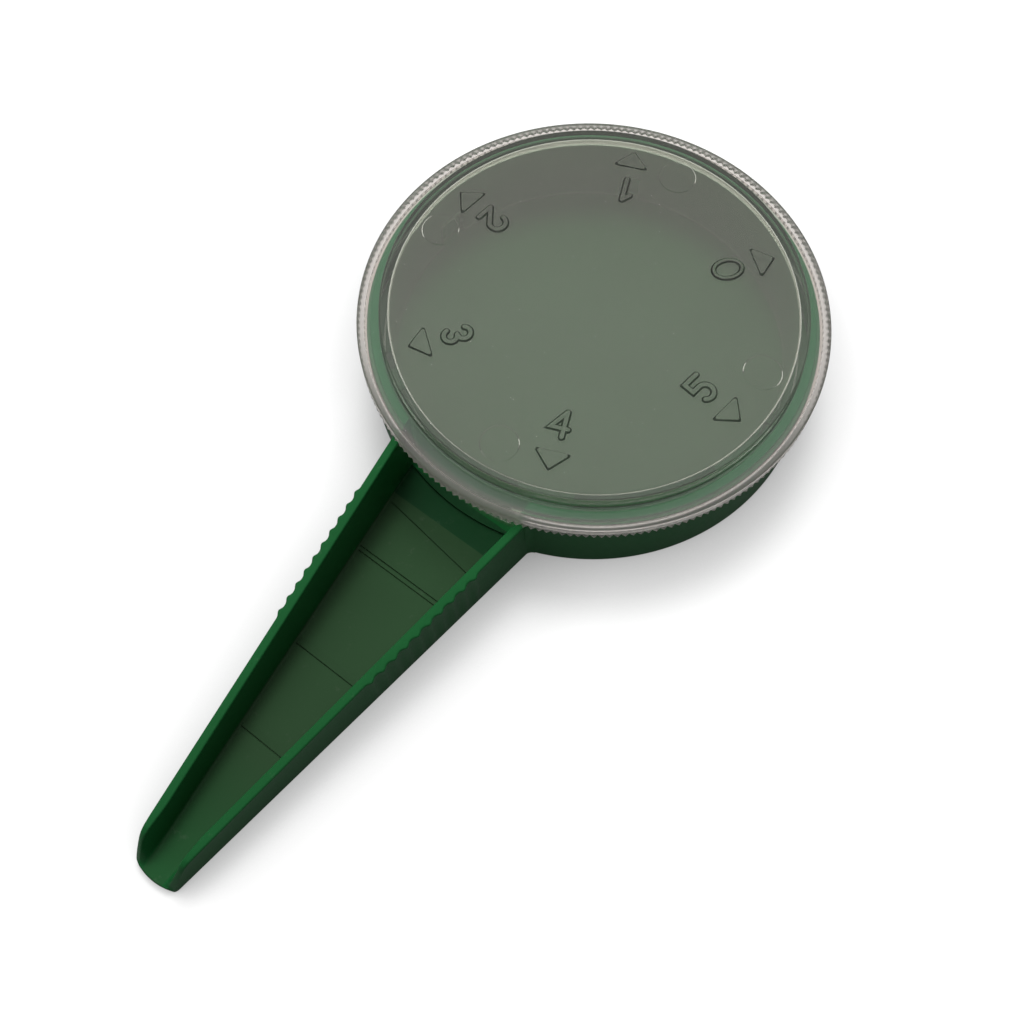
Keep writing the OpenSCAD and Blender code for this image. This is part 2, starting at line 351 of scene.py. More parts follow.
def bake(piece):
    """Applies what the modifiers make of a piece, and removes them"""
    evaluated = piece.evaluated_get(bpy.context.evaluated_depsgraph_get())
    made = bpy.data.meshes.new_from_object(evaluated)
    made.name = piece.name
    piece.modifiers.clear()
    old = piece.data
    piece.data = made
    bpy.data.meshes.remove(old)


def combine(piece, others, operation):
    """Unites the others with a piece, or cuts them out of it, and deletes them"""
    for other in others:
        change = piece.modifiers.new(operation.title(), "BOOLEAN")
        change.object = other
        change.operation = operation
        change.solver = "MANIFOLD"
    bake(piece)
    for other in others:
        mesh = other.data
        bpy.data.objects.remove(other)
        bpy.data.meshes.remove(mesh)
    if not piece.data.polygons:
        raise RuntimeError(f"{piece.name} has no faces left after {operation}")


def smooth(piece, material, angle):
    """One material, and smooth shading with sharp edges past an angle in degrees"""
    piece.data.materials.clear()
    piece.data.materials.append(material)
    tidy = bmesh.new()
    tidy.from_mesh(piece.data)
    bmesh.ops.remove_doubles(tidy, verts=tidy.verts, dist=MERGE * MM)
    bmesh.ops.dissolve_degenerate(tidy, dist=MERGE * MM, edges=tidy.edges)
    tidy.to_mesh(piece.data)
    tidy.free()
    piece.data.shade_smooth()
    piece.data.set_sharp_from_angle(angle=math.radians(angle))
    even = piece.modifiers.new("Even normals", "WEIGHTED_NORMAL")
    even.keep_sharp = True


def hand_over(piece, body, node):
    """Puts a finished piece in the place of its CAD node"""
    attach(piece, body)
    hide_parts(node)


# ------------------------------------------------------------ Geometry Nodes: ridges on a surface

class Maths:
    """Short calls that add Math nodes to a tree"""

    def __init__(self, tree):
        self.tree = tree

    def __call__(self, operation, *values):
        node = self.tree.nodes.new("ShaderNodeMath")
        node.operation = operation
        for socket, value in zip(node.inputs, values):
            if isinstance(value, (int, float)):
                socket.default_value = value
            else:
                self.tree.links.new(value, socket)
        return node.outputs[0]

    def parts(self, vector):
        """X, Y and Z of a vector"""
        node = self.tree.nodes.new("ShaderNodeSeparateXYZ")
        self.tree.links.new(vector, node.inputs[0])
        return node.outputs

    def radius(self, x, y):
        """Distance from the Z axis"""
        return self("SQRT", self("ADD", self("MULTIPLY", x, x), self("MULTIPLY", y, y)))

    def between(self, value, low, high):
        """1 between two limits, 0 outside them"""
        return self("MULTIPLY", self("GREATER_THAN", value, low), self("LESS_THAN", value, high))


def ridge_tree(name, around):
    """A tree that lifts the vertices with a lift attribute in a row of ridges

    around: V ridges all round the Z axis, blunter with Roundness. Otherwise Count
    waves along -Y on both flanks, with narrow crests where Roundness is above 1."""
    tree = bpy.data.node_groups.new(name, "GeometryNodeTree")
    face = tree.interface
    face.new_socket("Geometry", in_out="INPUT", socket_type="NodeSocketGeometry")
    if not around:
        face.new_socket("Count", in_out="INPUT", socket_type="NodeSocketInt")
    for label in ("Pitch", "Start", "Height", "Roundness"):
        face.new_socket(label, in_out="INPUT", socket_type="NodeSocketFloat")
    face.new_socket("Material", in_out="INPUT", socket_type="NodeSocketMaterial")
    face.new_socket("Geometry", in_out="OUTPUT", socket_type="NodeSocketGeometry")
    given = tree.nodes.new("NodeGroupInput").outputs
    m = Maths(tree)
    place = tree.nodes.new("GeometryNodeInputPosition")
    x, y, _ = m.parts(place.outputs[0])
    if around:
        along = m("ARCTAN2", y, x)
        radius = m.radius(x, y)
        out_x, out_y = m("DIVIDE", x, radius), m("DIVIDE", y, radius)
    else:
        along = m("MULTIPLY", y, -1.0)
        out_x, out_y = m("SIGN", x), None
    place_in_row = m("DIVIDE", m("SUBTRACT", along, given["Start"]), given["Pitch"])
    aside = m("MULTIPLY", m("SUBTRACT", place_in_row, m("ROUND", place_in_row)), 2.0)
    if around:
        # two straight sides joined by a hyperbola, scaled to run from 0 to 1
        blunt = m("MULTIPLY", given["Roundness"], given["Roundness"])
        full = m("SQRT", m("ADD", blunt, 1.0))
        wave = m("SUBTRACT", full, m("SQRT", m("ADD", m("MULTIPLY", aside, aside), blunt)))
        wave = m("DIVIDE", wave, m("SUBTRACT", full, given["Roundness"]))
    else:
        level = m("COSINE", m("MULTIPLY", aside, math.pi))
        wave = m("POWER", m("MULTIPLY", m("ADD", level, 1.0), 0.5), given["Roundness"])
        first = m("GREATER_THAN", place_in_row, -0.5)
        last = m("LESS_THAN", place_in_row, m("SUBTRACT", given["Count"], 0.5))
        wave = m("MULTIPLY", wave, m("MULTIPLY", first, last))
    lift = tree.nodes.new("GeometryNodeInputNamedAttribute")
    lift.data_type = "FLOAT"
    lift.inputs["Name"].default_value = "lift"
    height = m("MULTIPLY", m("MULTIPLY", wave, given["Height"]), lift.outputs["Attribute"])
    offset = tree.nodes.new("ShaderNodeCombineXYZ")
    tree.links.new(m("MULTIPLY", height, out_x), offset.inputs["X"])
    if out_y:
        tree.links.new(m("MULTIPLY", height, out_y), offset.inputs["Y"])
    move = tree.nodes.new("GeometryNodeSetPosition")
    realize = tree.nodes.new("GeometryNodeRealizeInstances")
    paint = tree.nodes.new("GeometryNodeSetMaterial")
    result = tree.nodes.new("NodeGroupOutput")
    tree.links.new(given["Geometry"], move.inputs["Geometry"])
    tree.links.new(offset.outputs[0], move.inputs["Offset"])
    tree.links.new(move.outputs[0], realize.inputs[0])
    tree.links.new(realize.outputs[0], paint.inputs["Geometry"])
    tree.links.new(given["Material"], paint.inputs["Material"])
    tree.links.new(paint.outputs[0], result.inputs[0])
    return tree


def raise_ridges(piece, tree, lifts, **values):
    """Lifts a piece's ridges by a tree; lifts is one weight from 0 to 1 for each vertex"""
    weight = piece.data.attributes.new("lift", "FLOAT", "POINT")
    weight.data.foreach_set("value", lifts)
    change = piece.modifiers.new(tree.name, "NODES")
    change.node_group = tree
    for item in tree.interface.items_tree:
        if item.in_out == "INPUT" and item.name in values:
            change[item.identifier] = values[item.name]
    bake(piece)
    piece.data.attributes.remove(piece.data.attributes["lift"])


# ------------------------------------------------------------ materials

GROUP_NAME = "Moulded plastic"

# dust in the hollows of the grain
DUST_COLOUR = (0.5, 0.5, 0.46, 1)

# greens of the body's places that differ from the colour a user sets: a brighter green under
# the lid that paints the light the clear lid gathers onto it, the dish floor, a darker green
# on the throat's floor that paints the lid's shadow, and the etched floor of the chute
LID_LIGHT_GREEN = (0.02, 0.15, 0.055, 1)
CHAMBER_GREEN = (0.022, 0.084, 0.030, 1)
LID_SHADOW_GREEN = (0.010, 0.048, 0.018, 1)
ETCHED_GREEN = (0.028, 0.067, 0.029, 1)
GREEN_IOR = 1.22
GREEN_GLOSS = 0.34
ETCHED_GLOSS = 0.16

# tints of the lid's places that differ from the colour a user sets: over the rim a green tint
# that paints the green light the body sends through the lid, on the skirt a paler, warmer tint
# that paints the pale surface seen through it, and on the sides of the raised marks a dark
# tint that paints their dark outlines; then the tint of its shadow
RIM_GLOW_TINT = (0.50, 0.63, 0.52, 1)
SKIRT_SEEN_FLOOR_TINT = (0.72, 0.68, 0.645, 1)
MARK_OUTLINE_SHADE = (0.05, 0.06, 0.05, 1)
SHADOW_TINT = (0.87, 0.88, 0.87, 1)
CLEAR_IOR = 1.5
CLEAR_TRANSMISSION = 0.935
CLEAR_GLOSS = 0.04
FROSTED_GLOSS = 0.3


def group_io(name, inputs, outputs):
    """An empty shader group with named sockets: (name, kind, default) rows"""
    tree = bpy.data.node_groups.new(name, "ShaderNodeTree")
    for label, kind, value in inputs:
        socket = tree.interface.new_socket(label, in_out="INPUT", socket_type="NodeSocket" + kind)
        if value is not None:
            socket.default_value = value
    for label, kind in outputs:
        tree.interface.new_socket(label, in_out="OUTPUT", socket_type="NodeSocket" + kind)
    return tree, tree.nodes.new("NodeGroupInput").outputs, tree.nodes.new("NodeGroupOutput").inputs


def noise(tree, coordinates, scale, detail, roughness=0.55):
    """Noise with scale waves to the metre"""
    node = tree.nodes.new("ShaderNodeTexNoise")
    node.inputs["Scale"].default_value = scale
    node.inputs["Detail"].default_value = detail
    node.inputs["Roughness"].default_value = roughness
    tree.links.new(coordinates, node.inputs["Vector"])
    return node.outputs["Fac"]


def remap(tree, value, low, high, to_low=0.0, to_high=1.0):
    """A value's range from low to high, spread over another range"""
    node = tree.nodes.new("ShaderNodeMapRange")
    limits = {"From Min": low, "From Max": high, "To Min": to_low, "To Max": to_high}
    for label, number in limits.items():
        node.inputs[label].default_value = number
    tree.links.new(value, node.inputs["Value"])
    return node.outputs["Result"]


def blend(tree, amount, first, second):
    """Mix of two colours, each a socket or a colour"""
    node = tree.nodes.new("ShaderNodeMix")
    node.data_type = "RGBA"
    for label, kind, value in (
            ("Factor", "VALUE", amount), ("A", "RGBA", first), ("B", "RGBA", second)):
        socket = next(s for s in node.inputs if s.name == label and s.type == kind)
        if isinstance(value, bpy.types.NodeSocket):
            tree.links.new(value, socket)
        else:
            socket.default_value = value
    return next(s for s in node.outputs if s.type == "RGBA")


def moulded_group():
    """Uneven colour, gloss and fine surface of a moulded plastic"""
    tree, given, result = group_io(
        GROUP_NAME,
        [("Vector", "Vector", None), ("Colour", "Color", None), ("Cloud", "Float", 0.1),
         ("Gloss", "Float", 0.3), ("Uneven gloss", "Float", 0.12), ("Grain", "Float", 0.2),
         ("Dust", "Float", 0.1)],
        [("Colour", "Color"), ("Roughness", "Float"), ("Height", "Float")])
    m = Maths(tree)
    cloud = noise(tree, given["Vector"], 60.0, 3.0)
    fine = noise(tree, given["Vector"], 900.0, 2.0)
    grain = noise(tree, given["Vector"], 3500.0, 2.0)
    dust = remap(tree, noise(tree, given["Vector"], 450.0, 5.0, 0.7), 0.62, 0.75)
    bright = m("ADD", 1.0, m("MULTIPLY", m("SUBTRACT", cloud, 0.5), given["Cloud"]))
    scale = tree.nodes.new("ShaderNodeVectorMath")
    scale.operation = "SCALE"
    tree.links.new(given["Colour"], scale.inputs[0])
    tree.links.new(bright, scale.inputs["Scale"])
    dusted = blend(tree, m("MULTIPLY", dust, given["Dust"]), scale.outputs[0], DUST_COLOUR)
    tree.links.new(dusted, result["Colour"])
    uneven = m("MULTIPLY", m("SUBTRACT", fine, 0.5), given["Uneven gloss"])
    rough = m("ADD", given["Gloss"], uneven)
    rough = m("ADD", rough, m("MULTIPLY", dust, m("MULTIPLY", given["Dust"], 0.5)))
    tree.links.new(rough, result["Roughness"])
    tree.links.new(m("MULTIPLY", m("ADD", grain, m("MULTIPLY", cloud, 0.6)), given["Grain"]),
                   result["Height"])
    return tree


def new_material(name):
    """An empty material with its shader, its output and the Object coordinates"""
    material = bpy.data.materials.new(name)
    material.use_nodes = True
    tree = material.node_tree
    tree.nodes.clear()
    shader = tree.nodes.new("ShaderNodeBsdfPrincipled")
    output = tree.nodes.new("ShaderNodeOutputMaterial")
    place = tree.nodes.new("ShaderNodeTexCoord").outputs["Object"]
    return material, tree, shader, output, place


def finish_shader(tree, shader, place, values):
    """Colour and gloss from the moulded plastic group; returns its fine height"""
    node = tree.nodes.new("ShaderNodeGroup")
    node.node_tree = bpy.data.node_groups.get(GROUP_NAME) or moulded_group()
    tree.links.new(place, node.inputs["Vector"])
    for label, value in values.items():
        if isinstance(value, bpy.types.NodeSocket):
            tree.links.new(value, node.inputs[label])
        else:
            node.inputs[label].default_value = value
    tree.links.new(node.outputs["Colour"], shader.inputs["Base Color"])
    tree.links.new(node.outputs["Roughness"], shader.inputs["Roughness"])
    return node.outputs["Height"]


def add_bump(tree, shader, height, strength, distance):
    """Fine relief from a height; distance is in metres"""
    bump = tree.nodes.new("ShaderNodeBump")
    bump.inputs["Strength"].default_value = strength
    bump.inputs["Distance"].default_value = distance
    tree.links.new(height, bump.inputs["Height"])
    tree.links.new(bump.outputs["Normal"], shader.inputs["Normal"])


def green_plastic(colour, form):
    """Satin green plastic, with a duller, etched floor in the chute, painted light under the lid
    and a painted shadow of the lid on the throat's floor
    """
    material, tree, shader, output, place = new_material("Green plastic")
    m = Maths(tree)
    x, y, z = m.parts(place)

    # low: the floors of the dish and the chute; inside: between the chute's walls
    low = remap(tree, z, (DISH_FLOOR + 0.05) * MM, (DISH_FLOOR + 0.35) * MM, 1.0, 0.0)
    start = form.inner(0, FLOOR_TOP)
    narrowing = start - form.inner(1, FLOOR_TOP)
    flank = m("ADD", m("MULTIPLY", y, narrowing), start * MM)
    above_foot = m("GREATER_THAN", z, (FLOOR_TOP - 0.5) * MM)
    inside = m("MULTIPLY", m("LESS_THAN", m("ABSOLUTE", x), flank), above_foot)
    channel = m("MULTIPLY", low, inside)

    # the etching starts beyond the lid's painted shadow and fades towards the tip; between the
    # dish and the etching, the floor gets a darker green that paints the lid's shadow
    beyond = m("LESS_THAN", y, -ETCH_FROM * MM)
    upper = remap(tree, y, -118 * MM, -95 * MM, 0.35, 1.0)
    floor = m("MULTIPLY", channel, m("MULTIPLY", beyond, upper))
    outside = m("LESS_THAN", y, -RIM_IN_R * MM)
    lid_shadow = m("MULTIPLY", channel, m("MULTIPLY", m("SUBTRACT", 1.0, beyond), outside))

    # lid light: the inside of the dish wall and all that lies under the lid get a brighter green,
    # painted light for the light the clear lid gathers onto them
    radius = m.radius(x, y)
    dish_side = m.between(radius, (RING_IN_R - 0.5) * MM, (RIM_IN_R + 0.1) * MM)
    wall = m("MULTIPLY", dish_side, m("GREATER_THAN", z, (DISH_FLOOR + 0.15) * MM))
    lid_light = m("MAXIMUM", wall, m("GREATER_THAN", z, (ROOT_TOP + 0.15) * MM))
    chamber = m("MULTIPLY", m("LESS_THAN", radius, RIM_IN_R * MM), low)

    # painted light: a brighter green under the lid
    green = blend(tree, lid_light, (*colour, 1), LID_LIGHT_GREEN)
    green = blend(tree, chamber, green, CHAMBER_GREEN)
    # painted shadow: the throat's floor gets a darker green for the lid's shadow
    green = blend(tree, lid_shadow, green, LID_SHADOW_GREEN)
    green = blend(tree, floor, green, ETCHED_GREEN)
    gloss = m("ADD", GREEN_GLOSS, m("MULTIPLY", floor, ETCHED_GLOSS))
    height = finish_shader(tree, shader, place, {
        "Colour": green, "Cloud": 0.22, "Gloss": gloss, "Grain": 0.5, "Dust": 0.05})
    shader.inputs["IOR"].default_value = GREEN_IOR
    add_bump(tree, shader, height, 0.12, 0.06 * MM)
    tree.links.new(shader.outputs[0], output.inputs["Surface"])
    return material


def clear_plastic(colour):
    """Clear glossy plastic that lets the lamps through to what is under it, with painted tints
    over the rim, on the skirt and on the marks' sides
    """
    material, tree, shader, output, place = new_material("Clear plastic")
    m = Maths(tree)
    x, y, z = m.parts(place)

    # edge: the sides of the raised marks, frosted and with a dark tint that paints the dark
    # outlines the marks show; below: the flange, the skirt and the gate ring
    edge = m.between(z, (DISC_TOP + 0.02) * MM, (LID_HIGH.z / MM - 0.02) * MM)
    radius = m.radius(x, y)
    below = m("LESS_THAN", z, (FLANGE_TOP + 0.1) * MM)
    # painted light: over the rim the lid takes a green tint for the green body's light through it
    past_rim = remap(tree, radius, (RIM_R - 0.1) * MM, (RIM_R + 0.3) * MM)
    # painted: the skirt takes a paler, warmer tint for the pale surface seen through it
    flange = blend(tree, past_rim, RIM_GLOW_TINT, SKIRT_SEEN_FLOOR_TINT)
    tint = blend(tree, below, (*colour, 1), flange)
    # painted shade: the marks' sides take a dark tint for the dark outlines that refraction draws
    # round them
    tint = blend(tree, edge, tint, MARK_OUTLINE_SHADE)
    skirt = m("MULTIPLY", m("GREATER_THAN", radius, SKIRT_IN_R * MM), below)
    frosted = m("MULTIPLY", m("MAXIMUM", edge, skirt), FROSTED_GLOSS)
    finish_shader(tree, shader, place, {
        "Colour": tint, "Cloud": 0.03, "Gloss": m("ADD", CLEAR_GLOSS, frosted),
        "Uneven gloss": 0.03, "Grain": 0.0, "Dust": 0.1})
    shader.inputs["IOR"].default_value = CLEAR_IOR
    shader.inputs["Transmission Weight"].default_value = CLEAR_TRANSMISSION
    add_bump(tree, shader, noise(tree, place, 160.0, 2.0), 0.05, 0.2 * MM)
    through = tree.nodes.new("ShaderNodeBsdfTransparent")
    through.inputs["Color"].default_value = SHADOW_TINT
    rays = tree.nodes.new("ShaderNodeLightPath")
    mix = tree.nodes.new("ShaderNodeMixShader")
    tree.links.new(rays.outputs["Is Shadow Ray"], mix.inputs["Fac"])
    tree.links.new(shader.outputs[0], mix.inputs[1])
    tree.links.new(through.outputs[0], mix.inputs[2])
    tree.links.new(mix.outputs[0], output.inputs["Surface"])
    return material


# ------------------------------------------------------------ body

def read_off(table, value):
    """Value read off a table of (x, y) rows, straight between them"""
    if value <= table[0][0]:
        return table[0][1]
    for (x0, y0), (x1, y1) in zip(table, table[1:]):
        if value <= x1:
            return y0 + (y1 - y0) * (value - x0) / (x1 - x0)
    return table[-1][1]


def ramp(value, end, length):
    """0 up to a length before the end, then straight to 1 at the end"""
    return min(max((value - (end - length)) / length, 0.0), 1.0)


def quarter(share):
    """0 to 1 along a quarter of a circle that starts level"""
    return 1 - math.sqrt(max(1 - share * share, 0.0))


class Chute:
    """The chute's form: half widths and heights at a distance s from the dish axis"""

    def __init__(self, sizes):
        self.length = sizes.chute_length
        self.run = self.length - DISH_R
        self.root_w = sizes.root_width
        self.tip_w = sizes.tip_width
        self.fall = (ROOT_TOP - sizes.tip_height) / self.run
        end = self.length + END_PAST_TIP
        self.end_drop = [(end - before, drop) for before, drop in END_DROP]
        self.thickness = [(end - before, wall) for before, wall in END_WALL]

    def half(self, s):
        """Half the width over the walls' tops"""
        return (self.root_w - (self.root_w - self.tip_w) * (s - DISH_R) / self.run) / 2

    def top(self, s):
        """Height of the walls, as if they ran on to the tip"""
        return ROOT_TOP - self.fall * (s - DISH_R)

    def outer(self, s, z):
        """Distance of the outer face from the middle at a height"""
        return self.half(s) + OUTER_DRAFT * (1 - z / ROOT_TOP)

    def inner(self, s, z):
        """Distance of the inner face from the middle at a height"""
        return self.half(s) - WALL - INNER_DRAFT * (1 - z / ROOT_TOP)

    def bulge(self, t):
        """How far the tip's curve lies back at a distance from the middle"""
        return TIP_CURVE - math.sqrt(max(TIP_CURVE ** 2 - t * t, 0.0))

    def section(self, u):
        """Closed section; near the tip its flanks lag behind the middle"""
        share = ramp(u, self.length, TIP_ZONE)
        s = u - self.bulge(self.half(u)) * share
        nose = quarter(ramp(u, self.length, NOSE))
        pinch = 1 - 0.1 * quarter(ramp(u, self.length, PINCH_ZONE))
        top = max(self.top(s) - read_off(self.end_drop, s), LEAST_TOP)

        # corners of the right half as (distance from the middle, height, rounding)
        foot = (self.outer(s, 0), 0, 0.3)
        crown = (self.outer(s, top), top, 0.4)
        lip_z = max(top, FLOOR_TOP + 0.08)
        lip_t = min(self.outer(s, top) - read_off(self.thickness, s), self.inner(s, lip_z) + 1.1)
        lip = (lip_t, lip_z, 0.35)
        drain_round = 0.5 + 0.9 * ramp(u, self.length, DRAIN_ZONE)
        drain = (self.inner(s, FLOOR_TOP), FLOOR_TOP, drain_round)
        half = rounded([(0, 0, 0), foot, crown, lip, drain, (0, FLOOR_TOP, 0)])

        # more points across the underside and the floor, so that the tip's curve is smooth
        under = [(half[1][0] * i / ACROSS, half[1][1]) for i in range(1, ACROSS)]
        inside = [(half[-2][0] * i / ACROSS, half[-2][1]) for i in reversed(range(1, ACROSS))]
        half = [half[0], *under, *half[1:-1], *inside, half[-1]]
        points = []
        for t, z in half:
            level = NOSE_LEVEL + (z - NOSE_LEVEL) * (1 - 0.4 * nose)
            points.append((t * pinch, -(u - self.bulge(t) * share), level))
        return points + [(-x, y, z) for x, y, z in reversed(points[1:-1])]


def make_chute(sizes, form, material):
    """The open channel, with its grip ridges raised by Geometry Nodes"""
    grip_end = sizes.grip_start + (sizes.grip_count - 0.5) * sizes.grip_pitch
    grip_from = sizes.grip_start - 0.5 * sizes.grip_pitch
    before = int((grip_from - STATIONS_FROM) / STATION_GAP)
    stations = [STATIONS_FROM + STATION_GAP * i for i in range(before)]
    count = sizes.grip_count * RIDGE_STATIONS
    stations += [grip_from + (grip_end - grip_from) * i / count for i in range(count + 1)]
    tip_from = form.length - TIP_ZONE
    spread = int((tip_from - grip_end) / STATION_GAP)
    stations += [grip_end + (tip_from - grip_end) * (i + 1) / spread for i in range(spread)]
    stations += [tip_from + (TIP_ZONE - NOSE) * (i + 1) / TIP_STATIONS
                 for i in range(TIP_STATIONS)]
    stations += [form.length - NOSE * (1 - math.sin(math.pi / 2 * (i + 1) / NOSE_STATIONS))
                 for i in range(NOSE_STATIONS)]
    sections = [form.section(u) for u in stations]
    chute = loft("chute", sections)

    # the crown and the foot of the outer faces are lifted, the more the higher they lie
    size = len(sections[0])
    lifts = []
    for section in sections:
        for k, (x, y, z) in enumerate(section):
            side = (k if k <= size // 2 else size - k) - (ACROSS - 1)
            s = -y
            reach = abs(x) - form.inner(s, z)
            share = min(max(reach / (WALL * 0.75), 0.0), 1.0)
            on_outside = ARC_POINTS < side <= 2 * ARC_POINTS + 1
            lifts.append(share * z / form.top(s) if on_outside else 0.0)
    tree = ridge_tree("Grip ridges", around=False)
    raise_ridges(chute, tree, lifts, Count=sizes.grip_count, Pitch=sizes.grip_pitch * MM,
                 Start=sizes.grip_start * MM, Height=sizes.grip_out * MM,
                 Roundness=GRIP_CREST, Material=material)
    return chute


def make_root_fillet(form, side):
    """Concave fillet between a chute wall and the dish wall"""
    taper = math.atan((form.root_w - form.tip_w) / 2 / form.run)
    way = Vector((-math.sin(taper), -math.cos(taper)))
    out = Vector((math.cos(taper), -math.sin(taper)))
    foot = Vector((form.half(DISH_R), -DISH_R)) + OUTER_DRAFT * 0.5 * out

    # the fillet's centre lies a radius away from the wall and from the dish
    start = foot + ROOT_FILLET * out
    b = -start.dot(way)
    u = b + math.sqrt(b * b - start.dot(start) + (DISH_R + ROOT_FILLET) ** 2)
    centre = start + u * way
    on_dish = centre * DISH_R / centre.length
    on_wall = foot + u * way
    first = on_dish - centre
    last = on_wall - centre
    angle = math.atan2(first.y, first.x)
    turn = shortest(math.atan2(last.y, last.x) - angle)
    curve = []
    for i in range(13):
        at = angle + turn * i / 12
        curve.append(centre + ROOT_FILLET * Vector((math.cos(at), math.sin(at))))

    # the rest of the outline lies inside the wall and the dish
    outline = curve + [on_wall - WALL * 0.6 * out, on_dish * (RIM_R - 0.5) / DISH_R]
    outline = [(p.x * side, p.y) for p in outline]
    name = "fillet_right" if side > 0 else "fillet_left"
    return prism(name, [(outline, FILLET_Z), (outline, ROOT_TOP - FILLET_DROP)])


def floor_cut(form, name, s, profile, angle=0.0):
    """A cut across the chute's floor: profile rows are (distance from s, z)"""
    slant = math.tan(math.radians(angle))
    ends = []
    for side in (-1, 1):
        row = []
        for step, z in profile:
            at = s + step
            reach = form.inner(at, FLOOR_TOP) - LINE_END_GAP
            row.append((side * reach, -(at - slant * side * reach), z))
        ends.append(row)
    return loft(name, ends)


def make_dish(sizes):
    """Dish floor and wall with the stepped rim and its snap bead"""
    step_z, rim_z = sizes.dish_height, sizes.rim_top
    return revolve("sower_body", rounded([
        (0, 0, 0), (DISH_R, 0, 0.5), (DISH_R, step_z, 0.35), (RIM_R, step_z, 0.15),
        (RIM_R, BEAD_Z, 0.1), (BEAD_R, BEAD_Z, 0.12), (BEAD_R, BEAD_TOP, 0.2),
        (RIM_R, BEAD_TOP, 0.1), (RIM_R, rim_z, 0.25), (RIM_IN_R, rim_z, 0.25),
        (RIM_IN_R, DISH_FLOOR, 0.5), (0, DISH_FLOOR, 0)]), ROUND_DISH)


def make_throat_cuts(form):
    """Cutters of the throat through the dish wall and of its lower, curved sill"""
    sections = []
    for s in (THROAT_FROM, THROAT_TO):
        low = form.inner(s, 0) - THROAT_GAP
        high = form.inner(s, ROOT_TOP) - THROAT_GAP
        right = [(low, -s, DISH_FLOOR), (high, -s, ROOT_TOP), (high, -s, THROAT_TOP)]
        sections.append([(-low, -s, DISH_FLOOR), *right, (-high, -s, THROAT_TOP),
                         (-high, -s, ROOT_TOP)])
    throat = loft("throat", sections)
    sweep = math.degrees(math.asin((form.inner(SILL_R, 0) - THROAT_GAP) / SILL_R))
    outer_half = form.inner(THROAT_TO, 0) - THROAT_GAP
    outline = arc(0, 0, SILL_R, -90 - sweep, -90 + sweep, 24)
    outline += [(outer_half, -THROAT_TO), (-outer_half, -THROAT_TO)]
    ledge = prism("ledge", [(outline, FLOOR_TOP), (outline, DISH_FLOOR + 1)])
    return [throat, ledge]


def make_pointer(rim_z):
    """Pointed index mark on the rim"""
    outline = rounded([
        (-POINTER_IN, -POINTER_HALF, 0), (0, -POINTER_HALF, 0.1), (POINTER_OUT, 0, 0.12),
        (0, POINTER_HALF, 0.1), (-POINTER_IN, POINTER_HALF, 0)], 3)
    spin = Matrix.Rotation(math.radians(POINTER_ANGLE), 2)
    outline = [tuple(spin @ (Vector(p) + Vector((RIM_R, 0)))) for p in outline]
    return prism("pointer", [(outline, rim_z - POINTER_LOW), (outline, rim_z - POINTER_HIGH)])


def make_floor_cuts(form):
    """Cutters of the fine grooves and the steps across the chute's floor"""
    above = FLOOR_TOP + 1
    line = FLOOR_TOP - LINE_DEPTH
    groove = [(0.0, above), (0.0, FLOOR_TOP), (0.1, line), (0.2, line), (0.3, FLOOR_TOP),
              (0.3, above)]
    foot = FLOOR_TOP - STEP_DEPTH
    step = [(-1.2, above), (-1.2, FLOOR_TOP), (0.0, FLOOR_TOP - 0.1), (0.05, foot),
            (0.22, foot), (0.27, FLOOR_TOP), (0.27, above)]
    cuts = [floor_cut(form, f"groove_{number}", s, groove) for number, s in enumerate(GROOVES_AT)]
    cuts.append(floor_cut(form, "slant", SLANT_AT, step, SLANT_TURN))
    cuts += [floor_cut(form, f"step_{number}", s, step) for number, s in enumerate(STEPS_AT)]
    return cuts


def make_body(context):
    """The green moulding in one piece"""
    sizes = context.scene.sower_body
    form = Chute(sizes)
    material = green_plastic(context.scene.sower_finish.green, form)
    body = make_dish(sizes)
    chute = make_chute(sizes, form, material)
    core_r = CHUTE_FROM_R
    core = revolve("core", [(0, -2), (core_r, -2), (core_r, 20), (0, 20)], ROUND_DISH)
    combine(chute, [core], "DIFFERENCE")
    combine(body, make_throat_cuts(form), "DIFFERENCE")
    pointer = make_pointer(sizes.rim_top)
    fillets = [make_root_fillet(form, side) for side in (-1, 1)]
    combine(body, [chute, *fillets, pointer], "UNION")
    combine(body, make_floor_cuts(form), "DIFFERENCE")
    smooth(body, material, BODY_SHARP)
    hand_over(body, "sower_body", BODY_NODE)


# ------------------------------------------------------------ dial lid

def offset_path(path, distance, closed):
    """The path moved sideways by a distance, with mitred corners"""
    moved = []
    total = len(path)
    for i, p in enumerate(path):
        p = Vector(p)
        before = Vector(path[i - 1]) if closed or i > 0 else None
        after = Vector(path[(i + 1) % total]) if closed or i < total - 1 else None
        ways = []
        if before is not None:
            ways.append((p - before).normalized())
        if after is not None:
            ways.append((after - p).normalized())
        sides = [Vector((-w.y, w.x)) for w in ways]
        side = sides[0]
        if len(sides) > 1:
            side = (sides[0] + sides[1]).normalized()
            side /= max(side.dot(sides[0]), 0.5)
        moved.append(tuple(p + side * distance))
    return moved


def stroke_outline(path, half):
    """Outline of an open stroke with round ends"""
    left = offset_path(path, half, False)
    right = offset_path(path, -half, False)
    first = Vector(path[1]) - Vector(path[0])
    last = Vector(path[-1]) - Vector(path[-2])
    a_last = math.degrees(math.atan2(last.y, last.x))
    a_first = math.degrees(math.atan2(first.y, first.x))
    end = arc(*path[-1], half, a_last + 90, a_last - 90, 8)[1:-1]
    start = arc(*path[0], half, a_first - 90, a_first - 270, 8)[1:-1]
    return left + end + right[::-1] + start


